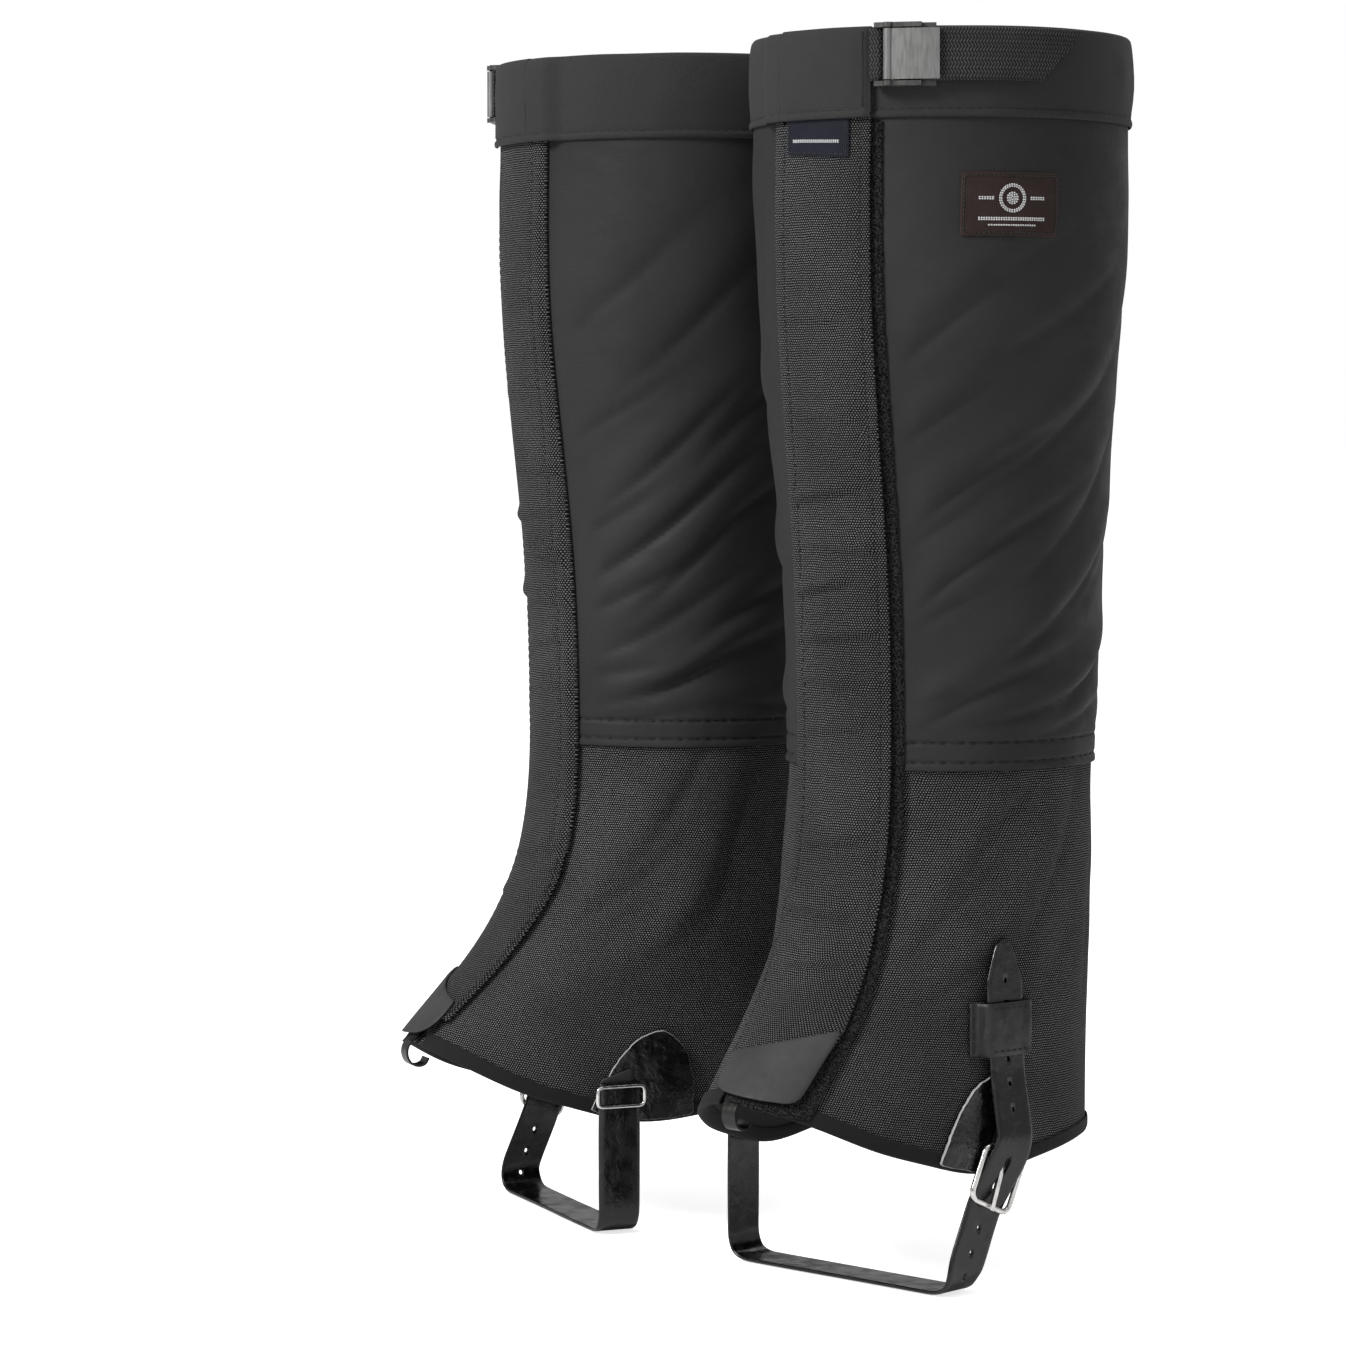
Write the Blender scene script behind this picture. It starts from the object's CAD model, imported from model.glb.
"""The looks of a pair of mountaineering gaiters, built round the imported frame.

Every piece is drawn once, in millimetres, in the left gaiter's own frame: +X to the outer side,
-Y to the toe, +Z up, the leg's axis on Z. place() sets it out for either leg.
"""
import math

import bmesh
import bpy
import numpy as np
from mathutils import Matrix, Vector, noise


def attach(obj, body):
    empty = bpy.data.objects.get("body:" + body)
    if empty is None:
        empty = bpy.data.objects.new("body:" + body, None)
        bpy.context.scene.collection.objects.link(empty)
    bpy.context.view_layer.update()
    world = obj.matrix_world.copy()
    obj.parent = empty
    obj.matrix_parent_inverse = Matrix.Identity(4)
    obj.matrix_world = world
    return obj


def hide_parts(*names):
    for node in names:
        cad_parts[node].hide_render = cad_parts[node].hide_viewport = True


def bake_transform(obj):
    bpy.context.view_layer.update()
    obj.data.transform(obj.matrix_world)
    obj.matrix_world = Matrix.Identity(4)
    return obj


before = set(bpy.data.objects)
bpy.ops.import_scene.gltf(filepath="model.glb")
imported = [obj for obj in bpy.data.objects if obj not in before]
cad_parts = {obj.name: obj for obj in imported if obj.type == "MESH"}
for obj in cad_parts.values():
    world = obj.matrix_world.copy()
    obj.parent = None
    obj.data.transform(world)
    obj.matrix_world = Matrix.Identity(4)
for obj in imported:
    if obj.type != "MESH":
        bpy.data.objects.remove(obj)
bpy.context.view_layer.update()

MM = 0.001
SIDES = ("left", "right")

# How the CAD sets the gaiters out, and its layers: distances outside the shell's outer face.
LEG_X, LEG_Y = {"left": 81.8, "right": 82.2}, 25.0
TOE_OUT = {"left": math.radians(6.4), "right": math.radians(17.4)}
HEIGHTS = (40, 85, 120, 160, 220, 280, 340, 400, 460, 500)
HALF_WIDTH = (60, 60, 61, 62, 62, 63.5, 68, 74, 77, 77)
TO_TOE = (157, 119, 87, 67, 61.5, 63.5, 69, 74, 74, 74)
TO_HEEL = (68, 68, 68, 68, 70, 74, 76, 77, 76.5, 76.5)
HEM_FORWARD = (-90, -30, 10, 45, 69, 93, 111, 140, 175)
HEM_HEIGHT = (52, 54, 50, 48, 54, 62, 71, 87, 108)
SEAM, TOP = 207.0, 500.0
SLIT_OUT, SLIT_IN = -6.5, -8.5
FLAP_HALF, FLAP_SPLIT, FLAP_TOP = 25.0, 160.0, 498.0
TAPE_TOP = 463.0
STRAP_LOW, STRAP_HIGH = 478.5, 498.5
STRAP_CENTRE = (0.0, 2.7)


def curve_through(knots, values):
    """A natural cubic spline as a function of an array."""
    x, y = np.array(knots, float), np.array(values, float)
    h, n = np.diff(x), len(x)
    a, r = np.eye(n), np.zeros(n)
    for i in range(1, n - 1):
        a[i, i - 1:i + 2] = h[i - 1], 2 * (h[i - 1] + h[i]), h[i]
        r[i] = 6 * ((y[i + 1] - y[i]) / h[i] - (y[i] - y[i - 1]) / h[i - 1])
    m = np.linalg.solve(a, r)

    def value(at):
        at = np.clip(np.asarray(at, float), x[0], x[-1])
        i = np.clip(np.searchsorted(x, at) - 1, 0, n - 2)
        left, right, step = at - x[i], x[i + 1] - at, h[i]
        bend = (m[i] * right ** 3 + m[i + 1] * left ** 3) / (6 * step)
        low = (y[i] / step - m[i] * step / 6) * right
        return bend + low + (y[i + 1] / step - m[i + 1] * step / 6) * left
    return value


half_width = curve_through(HEIGHTS, HALF_WIDTH)
to_toe = curve_through(HEIGHTS, TO_TOE)
to_heel = curve_through(HEIGHTS, TO_HEEL)
hem_at = curve_through(HEM_FORWARD, HEM_HEIGHT)


def smooth(value, low, high):
    t = np.clip((value - low) / (high - low), 0, 1)
    return t * t * (3 - 2 * t)


def skin(turn, z, out):
    """Points outside the shell's face. turn runs from the toe (0) over the outer side to the heel (pi)."""
    turn, z, out = np.broadcast_arrays(np.asarray(turn, float), z, out)
    reach = np.where(np.cos(turn) > 0, to_toe(z), to_heel(z)) + out
    return np.stack([(half_width(z) + out) * np.sin(turn), -reach * np.cos(turn), z + 0 * turn], -1)


def turn_at(across, z, out):
    """The turn at which the front of the shell lies that far across."""
    return np.arcsin(np.clip(across / (half_width(z) + out), -1, 1))


def hem_height(turn, out=0.0):
    """The hem's height round the shell."""
    z = np.full(np.shape(turn), 60.0)
    for _ in range(30):
        reach = np.where(np.cos(turn) > 0, to_toe(z), to_heel(z)) + out
        z = 0.5 * z + 0.5 * hem_at(reach * np.cos(turn))
    return z


def place(points, side):
    """From the left gaiter's frame in millimetres to the row frame in metres, mirrored for the right."""
    p = np.asarray(points, float).reshape(-1, 3)
    c, s = math.cos(TOE_OUT[side]), math.sin(TOE_OUT[side])
    x = LEG_X[side] + p[:, 0] * c - p[:, 1] * s
    y = LEG_Y + p[:, 0] * s + p[:, 1] * c
    return np.column_stack([x if side == "left" else -x, y, p[:, 2]]) * MM


# ---------------------------------------------------------------- folds in the sleeves

# Creases pressed into the sleeves: turn and height of the middle, tilt from level, length, width, lift.
CREASES = {
    "left": [
        (0.72, 392, 36, 58, 9, 2.2), (1.02, 414, 34, 60, 11, 1.5), (1.30, 392, 36, 70, 10, 1.6),
        (0.66, 352, 30, 44, 7, 1.9), (0.92, 330, 34, 76, 8, 2.6), (1.42, 350, 40, 70, 9, 2.6),
        (0.60, 306, 26, 36, 6, 1.6), (0.98, 300, 34, 84, 8, 3.3), (1.62, 318, 44, 70, 10, 2.4),
        (0.72, 276, 22, 50, 7, 1.7), (1.55, 280, 38, 72, 9, 3.0), (1.20, 262, 28, 60, 9, 1.8),
        (1.02, 244, 24, 70, 7, 3.0), (0.62, 238, 12, 36, 5, 1.6), (1.42, 238, 17, 66, 6, 3.0),
        (1.92, 248, 22, 60, 7, 2.6), (1.75, 231, 10, 54, 5, 2.2), (2.10, 300, 30, 60, 12, 1.4),
        (2.05, 400, 44, 70, 14, 1.2), (2.70, 340, 40, 80, 14, 1.7),
        (-1.0, 372, -30, 70, 9, 1.9), (-1.5, 330, -36, 80, 9, 2.6), (-0.9, 300, -25, 60, 8, 2.3),
        (-1.8, 270, -32, 80, 9, 2.8), (-1.1, 244, -18, 70, 7, 2.4), (-2.5, 300, -40, 90, 12, 1.9),
        (-2.0, 236, -9, 90, 7, 2.2), (3.1, 286, 20, 90, 12, 1.8), (3.0, 236, 8, 90, 8, 1.8),
    ],
    "right": [
        (-0.66, 352, -34, 50, 7, 1.9), (-0.98, 336, -40, 70, 8, 2.4), (-0.62, 306, -34, 50, 6, 2.2),
        (-0.98, 306, -36, 92, 8, 3.6), (-0.70, 276, -28, 60, 7, 2.7), (-1.32, 300, -38, 70, 9, 3.2),
        (-0.98, 268, -26, 70, 9, 2.2), (-0.66, 244, -12, 50, 6, 1.9), (-1.05, 240, -16, 80, 6, 2.9),
        (-1.42, 250, -22, 76, 8, 2.8), (-0.92, 226, -6, 70, 5, 1.7), (-1.70, 276, -30, 70, 9, 2.4),
        (-1.10, 392, -42, 80, 12, 1.7), (-1.60, 360, -42, 70, 11, 2.0), (-0.70, 408, -46, 60, 11, 1.3),
        (0.95, 372, 30, 70, 9, 1.9), (1.5, 330, 36, 80, 9, 2.6), (0.9, 300, 25, 60, 8, 2.4),
        (1.8, 270, 32, 80, 9, 2.8), (1.1, 244, 18, 70, 7, 2.4), (2.4, 300, 40, 90, 12, 1.9),
        (2.0, 236, 9, 90, 7, 2.2), (3.1, 286, -20, 90, 12, 1.8), (-2.5, 330, -40, 90, 12, 1.9),
        (-2.1, 234, -9, 80, 7, 2.0),
    ],
}
# Shallow dimples in the coarse lower sleeve.
LOWER_CREASES = [
    (1.0, 186, 52, 70, 10, 2.0), (1.42, 168, 66, 90, 11, 2.0), (1.95, 160, 80, 90, 12, 1.8),
    (0.75, 152, 46, 54, 8, 1.6), (0.95, 128, 40, 60, 8, 1.7), (1.35, 118, 60, 60, 9, 1.4),
    (-1.0, 184, -56, 70, 10, 2.1), (-1.42, 165, -70, 90, 11, 2.2), (-0.78, 150, -46, 60, 8, 1.7),
    (-1.15, 128, -52, 70, 9, 1.9), (-0.92, 112, -34, 50, 8, 1.3), (-1.9, 150, -80, 90, 12, 2.0),
    (2.6, 150, 88, 90, 13, 1.8), (-2.4, 150, -86, 90, 13, 1.8), (3.1, 120, 90, 80, 12, 1.6),
]


def rumple(points, scale, seed):
    """Smooth noise from -1 to 1 at each point."""
    shift = Vector((seed, 2.3 * seed, -seed))
    return np.array([noise.noise(Vector(p) / scale + shift) for p in points.reshape(-1, 3)])


def folds(turn, z, side):
    """How far the sleeves' cloth stands off its plain shape, in millimetres."""
    turn, z = np.broadcast_arrays(np.asarray(turn, float), np.asarray(z, float))
    angle = np.mod(turn + math.pi, 2 * math.pi) - math.pi
    radius = 68.0
    rise = np.zeros(turn.shape)
    for at, height, tilt, length, width, lift in CREASES[side] + LOWER_CREASES:
        along = (np.mod(angle - at + math.pi, 2 * math.pi) - math.pi) * radius
        up = z - height
        c, s = math.cos(math.radians(tilt)), math.sin(math.radians(tilt))
        run, across = along * c + up * s, up * c - along * s
        across = across + 2.2 * np.sin(run / 19 + at * 5)
        reach = np.exp(-np.abs(run / (0.56 * length)) ** 2.6)
        ridge = np.exp(-(across / width) ** 2)
        valley = np.exp(-(np.abs(across + 0.95 * width) / (0.3 * width)) ** 1.4)
        rise = rise + lift * reach * (0.7 * ridge - 0.75 * valley)
    flat = skin(turn, z, 0.0)
    seed = 3.0 if side == "left" else 11.0
    soft = rumple(flat, 70.0, seed) * 1.3 + rumple(flat, 26.0, seed + 5) * 0.5
    rise = rise + soft.reshape(turn.shape)
    front = np.abs(skin(turn, z, 0.0)[..., 0])
    calm = np.where(np.cos(angle) > 0, smooth(front, 29, 40), 1.0)
    calm = calm * (1 - smooth(z, 436, 463)) * smooth(z, 98, 140)
    seam = 1 - 0.72 * np.exp(-((z - 213) / 9.0) ** 2)
    lower = 1.0 + 0.12 * (1 - smooth(z, 170, 205))
    return rise * calm * seam * lower


# ---------------------------------------------------------------- mesh making

def to_object(name, side, shape, material, body, stands_for=(), kinds=None):
    """A piece from a closed shape (points, faces and a uv per point in metres), set out for one leg.

    kinds is a material index per face. body is one body's name, or where the cloth starts to follow
    another body and where it has come over to it.
    """
    points, faces, uv = shape
    mesh = bpy.data.meshes.new(f"{side}_{name}")
    mesh.from_pydata(place(points, side).tolist(), [], [list(map(int, face)) for face in faces])
    layer = mesh.uv_layers.new(name="UVMap")
    corners = np.empty(len(mesh.loops), np.int64)
    mesh.loops.foreach_get("vertex_index", corners)
    layer.data.foreach_set("uv", np.asarray(uv, np.float32)[corners].ravel())
    if kinds is not None:
        mesh.polygons.foreach_set("material_index", np.asarray(kinds, np.int32))
    work = bmesh.new()
    work.from_mesh(mesh)
    bmesh.ops.recalc_face_normals(work, faces=work.faces)
    work.to_mesh(mesh)
    work.free()
    mesh.polygons.foreach_set("use_smooth", [True] * len(mesh.polygons))
    obj = bpy.data.objects.new(f"{side}_{name}", mesh)
    bpy.context.scene.collection.objects.link(obj)
    for one in (material if isinstance(material, (list, tuple)) else [material]):
        obj.data.materials.append(one)
    if isinstance(body, str):
        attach(obj, f"{side}_{body}")
    else:
        start, end = body
        a, b = place([start], side)[0], place([end[1:]], side)[0]
        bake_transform(obj)
    if stands_for:
        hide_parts(*[f"{side}_{node}" for node in stands_for])
    return obj


def slab(outer, inner, uv, bulge=0.35, closed=False):
    """A closed sheet between two grids of points with a rounded rim; closed joins last column to first."""
    rows, cols = outer.shape[:2]
    count = rows * cols
    index = np.arange(count).reshape(rows, cols)
    points = [outer.reshape(-1, 3), inner.reshape(-1, 3)]
    faces = []
    for grid, flip in ((index, False), (index + count, True)):
        if closed:
            grid = np.concatenate([grid, grid[:, :1]], 1)
        a, b, c, d = grid[:-1, :-1], grid[:-1, 1:], grid[1:, 1:], grid[1:, :-1]
        quad = np.stack([a, d, c, b] if flip else [a, b, c, d], -1)
        faces += quad.reshape(-1, 4).tolist()
    if closed:
        loops = [[(0, j, 1, j) for j in range(cols)], [(rows - 1, j, rows - 2, j) for j in range(cols)]]
    else:
        last, end = rows - 1, cols - 1
        loop = [(0, j, 1, min(max(j, 1), end - 1)) for j in range(cols)]
        loop += [(i, end, min(max(i, 1), last - 1), end - 1) for i in range(1, rows)]
        loop += [(last, j, last - 1, min(max(j, 1), end - 1)) for j in range(end - 1, -1, -1)]
        loop += [(i, 0, min(max(i, 1), last - 1), 1) for i in range(last - 1, 0, -1)]
        loops = [loop]
    uvs = [uv.reshape(-1, 2), uv.reshape(-1, 2)]
    for loop in loops:
        i, j, ni, nj = np.array(loop).T
        edge = 0.5 * (outer[i, j] + inner[i, j])
        away = edge - 0.5 * (outer[ni, nj] + inner[ni, nj])
        away /= np.linalg.norm(away, axis=1)[:, None] + 1e-9
        thick = np.linalg.norm(outer[i, j] - inner[i, j], axis=1)[:, None]
        first = sum(len(p) for p in points)
        points.append(edge + away * thick * bulge)
        uvs.append(uv[i, j])
        n = len(loop)
        for k in range(n):
            m = (k + 1) % n
            o, p = index[i[k], j[k]], index[i[m], j[m]]
            faces.append([o, first + k, first + m, p])
            faces.append([first + k, o + count, p + count, first + m])
    return np.concatenate(points), faces, np.concatenate(uvs)


def plate(outline, rings, lay, middle=None):
    """A closed plate inside an outline of (across, up) points. rings go from the middle of the outer face
    over the rim to the middle of the inner face, each a share of the outline's reach and a height."""
    outline = np.asarray(outline, float)
    centre = outline.mean(0) if middle is None else np.asarray(middle, float)
    n = len(outline)
    flat, out, faces = [centre[None]], [np.full(1, rings[0][1])], []
    for share, height in rings:
        flat.append(centre + (outline - centre) * share)
        out.append(np.full(n, height))
    flat.append(centre[None])
    out.append(np.full(1, rings[-1][1]))
    flat, out = np.concatenate(flat), np.concatenate(out)
    for k in range(n):
        m = (k + 1) % n
        faces.append([0, 1 + k, 1 + m])
        for r in range(len(rings) - 1):
            a, b = 1 + r * n, 1 + (r + 1) * n
            faces.append([a + k, b + k, b + m, a + m])
        a = 1 + (len(rings) - 1) * n
        faces.append([a + k, len(flat) - 1, a + m])
    return lay(flat[:, 0], flat[:, 1], out), faces, flat * MM


def rounded(corners, radius, steps=7):
    """A closed outline through corners, each rounded by its radius, with points about every 1.5 mm."""
    corners = [np.array(c, float) for c in corners]
    radii = radius if isinstance(radius, (list, tuple)) else [radius] * len(corners)
    path = []
    for k, corner in enumerate(corners):
        before, after = corners[k - 1] - corner, corners[(k + 1) % len(corners)] - corner
        a, b = before / np.linalg.norm(before), after / np.linalg.norm(after)
        half = 0.5 * math.acos(np.clip(a @ b, -1, 1))
        cut = radii[k] / math.tan(half)
        for step in range(steps + 1):
            t = step / steps
            path.append(corner + (1 - t) ** 2 * cut * a + t ** 2 * cut * b)
    return resample(np.array(path), 1.5, closed=True)


def resample(path, step, closed=False):
    """The path's points at even steps."""
    path = np.asarray(path, float)
    if closed:
        path = np.concatenate([path, path[:1]])
    walk = np.concatenate([[0], np.cumsum(np.linalg.norm(np.diff(path, axis=0), axis=1))])
    count = max(int(round(walk[-1] / step)), 3)
    at = np.linspace(0, walk[-1], count + 1)
    even = np.stack([np.interp(at, walk, path[:, k]) for k in range(path.shape[1])], 1)
    return even[:-1] if closed else even


def soften(path, passes):
    """The path with its corners averaged away; its ends stay."""
    path = path.copy()
    for _ in range(passes):
        path[1:-1] = 0.25 * path[:-2] + 0.5 * path[1:-1] + 0.25 * path[2:]
    return path


def cord(path, radius, sides=8, closed=False):
    """A round cord along a path of points."""
    path = np.asarray(path, float)
    if closed:
        tangent = np.roll(path, -1, 0) - np.roll(path, 1, 0)
    else:
        tangent = np.gradient(path, axis=0)
    tangent /= np.linalg.norm(tangent, axis=1)[:, None] + 1e-9
    guide = np.array([0, 0, 1.0]) if abs(tangent[0, 2]) < 0.9 else np.array([1.0, 0, 0])
    points, faces = [], []
    for p, t in zip(path, tangent):
        guide = guide - (guide @ t) * t
        guide = guide / np.linalg.norm(guide)
        other = np.cross(t, guide)
        for k in range(sides):
            turn = 2 * math.pi * k / sides
            points.append(p + radius * (math.cos(turn) * guide + math.sin(turn) * other))
    n = len(path)
    for r in range(n if closed else n - 1):
        a, b = r * sides, ((r + 1) % n) * sides
        for k in range(sides):
            m = (k + 1) % sides
            faces.append([a + k, a + m, b + m, b + k])
    if not closed:
        faces.append(list(range(sides))[::-1])
        faces.append([(n - 1) * sides + k for k in range(sides)])
    return np.array(points), faces


class Bundle:
    """Many small closed pieces gathered into one mesh."""

    # A stitch's rings: share of its length, width and height.
    STITCH = [(0.0, 0.25, -0.2), (0.16, 0.9, 0.7), (0.5, 1.0, 1.0), (0.84, 0.9, 0.7), (1.0, 0.25, -0.2)]

    def __init__(self):
        self.points, self.faces, self.count = [], [], 0

    def add(self, points, faces):
        self.points.append(points)
        self.faces += [[index + self.count for index in face] for face in faces]
        self.count += len(points)

    def stitches(self, path, lift, length=2.6, gap=1.0, width=0.55, height=0.34):
        """A row of thread stitches along a path; lift is the way out of the cloth at each of its points."""
        path, lift = np.asarray(path, float), np.asarray(lift, float)
        walk = np.concatenate([[0], np.cumsum(np.linalg.norm(np.diff(path, axis=0), axis=1))])
        count = int(walk[-1] / (length + gap))
        at = lambda table, s: np.array([np.interp(s, walk, table[:, k]) for k in range(3)])
        for k in range(count):
            s = (k + 0.5) * walk[-1] / count
            a, b, up = at(path, s - length / 2), at(path, s + length / 2), at(lift, s)
            along = b - a
            if np.linalg.norm(along) < 1e-6:
                continue
            up = up / np.linalg.norm(up)
            side_way = np.cross(along / np.linalg.norm(along), up) * width / 2
            points = []
            for share, wide, tall in self.STITCH:
                middle = a + along * share + up * height * 0.5 * tall
                points += [middle + side_way * wide, middle + up * height * 0.5 * wide,
                           middle - side_way * wide, middle - up * height * 0.6 * wide]
            faces = [[0, 1, 2, 3], [19, 18, 17, 16]]
            for r in range(4):
                for q in range(4):
                    m = (q + 1) % 4
                    faces.append([4 * r + q, 4 * r + 4 + q, 4 * r + 4 + m, 4 * r + m])
            self.add(np.array(points), faces)

    def row(self, surface, first, second, out, *sizes):
        """Stitches along a line on surface(first, second, out)."""
        path = surface(first, second, out)
        self.stitches(path, surface(first, second, out + 1.0) - path, *sizes)

    def build(self, name, side, material, body, slot):
        points = np.concatenate(self.points)
        return to_object(name, side, (points, self.faces, points[:, :2] * MM), material, body)


# ---------------------------------------------------------------- materials

def tone(level, warm=0.0):
    """A grey from its screen level (0 to 255), slightly warm or cool, in linear light."""
    value = (level / 255) ** 2.2
    return (value * (1 + warm), value, value * (1 - warm), 1.0)


class Finish:
    """A node material with short ways to add patterns to it."""

    def __init__(self, name, roughness=0.7, metallic=0.0, specular=0.35, sheen=0.0):
        self.material = bpy.data.materials.new(name)
        self.material.use_nodes = True
        self.tree = self.material.node_tree
        self.surface = self.tree.nodes["Principled BSDF"]
        self.surface.inputs["Roughness"].default_value = roughness
        self.surface.inputs["Metallic"].default_value = metallic
        self.surface.inputs["Specular IOR Level"].default_value = specular
        self.surface.inputs["Sheen Weight"].default_value = sheen
        self.surface.inputs["Sheen Roughness"].default_value = 0.5
        uv = self.add("ShaderNodeUVMap")
        split = self.add("ShaderNodeSeparateXYZ", Vector=uv.outputs["UV"])
        self.u, self.v = split.outputs["X"], split.outputs["Y"]
        self.place = self.add("ShaderNodeTexCoord").outputs["Object"]
        self.bumps = []

    def add(self, kind, **inputs):
        node = self.tree.nodes.new(kind)
        for name, value in inputs.items():
            self.put(node.inputs[name], value)
        return node

    def put(self, socket, value):
        if isinstance(value, bpy.types.NodeSocket):
            self.tree.links.new(value, socket)
        else:
            socket.default_value = value

    def math(self, operation, first, second=0.0, third=0.0):
        node = self.add("ShaderNodeMath")
        node.operation = operation
        for socket, value in zip(node.inputs, (first, second, third)):
            self.put(socket, value)
        return node.outputs[0]

    def ramp(self, value, low, high, to_low=0.0, to_high=1.0):
        node = self.add("ShaderNodeMapRange")
        node.interpolation_type = "SMOOTHSTEP"
        for name, one in (("Value", value), ("From Min", low), ("From Max", high),
                          ("To Min", to_low), ("To Max", to_high)):
            self.put(node.inputs[name], one)
        return node.outputs["Result"]

    def noise(self, size, detail=3.0, stretch=(1, 1, 1)):
        """Noise from 0 to 1 with features of about that size, in metres."""
        node = self.add("ShaderNodeMapping", Vector=self.place)
        node.inputs["Scale"].default_value = stretch
        cloud = self.add("ShaderNodeTexNoise", Vector=node.outputs["Vector"])
        cloud.inputs["Scale"].default_value = 1 / size
        cloud.inputs["Detail"].default_value = detail
        return cloud.outputs["Fac"]

    def dots(self, across, up, soft=0.5):
        """Rows of round dots, every second row shifted by half a step, set a little unevenly."""
        drift = self.math("MULTIPLY_ADD", self.noise(0.005, 2), 0.0012, -0.0006)
        column = self.math("DIVIDE", self.math("ADD", self.u, drift), across)
        row = self.math("DIVIDE", self.math("SUBTRACT", self.v, drift), up)
        shift = self.math("MULTIPLY", self.math("MODULO", self.math("FLOOR", row), 2.0), 0.5)
        x = self.math("SUBTRACT", self.math("FRACT", self.math("ADD", column, shift)), 0.5)
        y = self.math("SUBTRACT", self.math("FRACT", row), 0.5)
        reach = self.math("SQRT", self.math("ADD", self.math("MULTIPLY", x, x), self.math("MULTIPLY", y, y)))
        return self.ramp(reach, 0.12, soft, 1.0, 0.0)

    def ribs(self, value, pitch):
        """A wave from 0 to 1 with that pitch."""
        wave = self.math("SINE", self.math("MULTIPLY", value, 2 * math.pi / pitch))
        return self.math("MULTIPLY_ADD", wave, 0.5, 0.5)

    def mix(self, share, first, second):
        node = self.add("ShaderNodeMix")
        node.data_type = "RGBA"
        self.put(node.inputs["Factor"], share)
        self.put(node.inputs[6], first)
        self.put(node.inputs[7], second)
        return node.outputs[2]

    def colour(self, value):
        self.put(self.surface.inputs["Base Color"], value)

    def bump(self, height, depth, strength=1.0):
        """Adds relief of that depth in metres."""
        node = self.add("ShaderNodeBump", Height=height)
        node.inputs["Strength"].default_value = strength
        node.inputs["Distance"].default_value = depth
        if self.bumps:
            self.tree.links.new(self.bumps[-1], node.inputs["Normal"])
        self.bumps.append(node.outputs["Normal"])
        self.put(self.surface.inputs["Normal"], node.outputs["Normal"])


def weave_finish(name, dark, light, across, up, relief, roughness=0.85, sheen=0.03, warm=0.0, soft=0.5):
    """Coarse cloth: light thread crowns on a dark ground, with slubs and slow changes of shade."""
    cloth = Finish(name, roughness, sheen=sheen, specular=0.1)
    dots = cloth.dots(across, up, soft)
    slubs = cloth.ramp(cloth.noise(0.0016, 2), 0.3, 0.72, 0.68, 1.0)
    share = cloth.math("MULTIPLY", dots, slubs)
    slow = cloth.ramp(cloth.noise(0.045, 4), 0.3, 0.7, 0.0, 1.0)
    ground = cloth.mix(slow, tone(dark * 0.9, warm), tone(dark * 1.12, warm))
    crown = cloth.mix(slow, tone(light * 0.92, warm), tone(light * 1.06, warm))
    cloth.colour(cloth.mix(share, ground, crown))
    cloth.bump(cloth.noise(0.012, 3), 0.0005, 0.5)
    cloth.bump(share, relief, 0.9)
    return cloth.material


def smooth_cloth():
    """Tightly woven nylon with a soft sheen and faint scuffs."""
    cloth = Finish("shell nylon", 0.62, sheen=0.02, specular=0.16)
    grid = cloth.math("MULTIPLY", cloth.ribs(cloth.u, 0.0007), cloth.ribs(cloth.v, 0.0007))
    slow = cloth.ramp(cloth.noise(0.06, 5, (1, 1, 0.6)), 0.3, 0.7)
    shade = cloth.mix(slow, tone(37), tone(44))
    cloth.colour(cloth.mix(cloth.math("MULTIPLY", grid, 0.5), shade, tone(50)))
    scuff = cloth.ramp(cloth.noise(0.02, 6, (1, 1, 2.2)), 0.35, 0.75, 0.56, 0.72)
    cloth.put(cloth.surface.inputs["Roughness"], scuff)
    cloth.bump(cloth.noise(0.022, 5, (1, 1, 1.4)), 0.0011, 0.55)
    cloth.bump(cloth.noise(0.006, 2), 0.0002, 0.5)
    cloth.bump(grid, 0.00006, 0.6)
    return cloth.material


def twill_finish(name, level, pitch=0.0011):
    """Fine diagonal cloth."""
    cloth = Finish(name, 0.75, sheen=0.04, specular=0.12)
    slant = cloth.ribs(cloth.math("ADD", cloth.u, cloth.v), pitch)
    cross = cloth.ribs(cloth.math("SUBTRACT", cloth.u, cloth.v), pitch * 0.62)
    slow = cloth.ramp(cloth.noise(0.05, 4), 0.3, 0.7)
    thread = cloth.math("MULTIPLY", slant, cloth.math("MULTIPLY_ADD", cross, 0.4, 0.6))
    base = cloth.mix(slow, tone(level * 0.9), tone(level))
    cloth.colour(cloth.mix(thread, base, tone(level * 1.2)))
    cloth.bump(cloth.noise(0.009, 3), 0.0006, 0.5)
    cloth.bump(thread, 0.00014, 0.8)
    return cloth.material


def pile_finish(name, dark, light, size):
    """Hook or loop pile."""
    pile = Finish(name, 0.95, sheen=0.05, specular=0.05)
    fuzz = pile.ramp(pile.noise(size, 4), 0.38, 0.68)
    pile.colour(pile.mix(fuzz, tone(dark), tone(light)))
    pile.bump(pile.noise(size * 1.3, 5), 0.0012, 1.0)
    return pile.material


def webbing_finish():
    """Ribbed nylon webbing: chevron ribs across its width."""
    web = Finish("webbing", 0.7, sheen=0.03, specular=0.14)
    side_step = web.math("MULTIPLY", web.math("ABSOLUTE", web.math("SUBTRACT", web.math(
        "FRACT", web.math("DIVIDE", web.v, 0.0034)), 0.5)), 0.0022)
    rib = web.ribs(web.math("ADD", web.u, side_step), 0.0013)
    rows = web.ribs(web.v, 0.0017)
    thread = web.math("MULTIPLY", rib, web.math("MULTIPLY_ADD", rows, 0.5, 0.5))
    slow = web.ramp(web.noise(0.02, 3), 0.3, 0.7)
    web.colour(web.mix(thread, tone(16), web.mix(slow, tone(66), tone(76))))
    web.bump(thread, 0.00035, 1.0)
    return web.material


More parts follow.
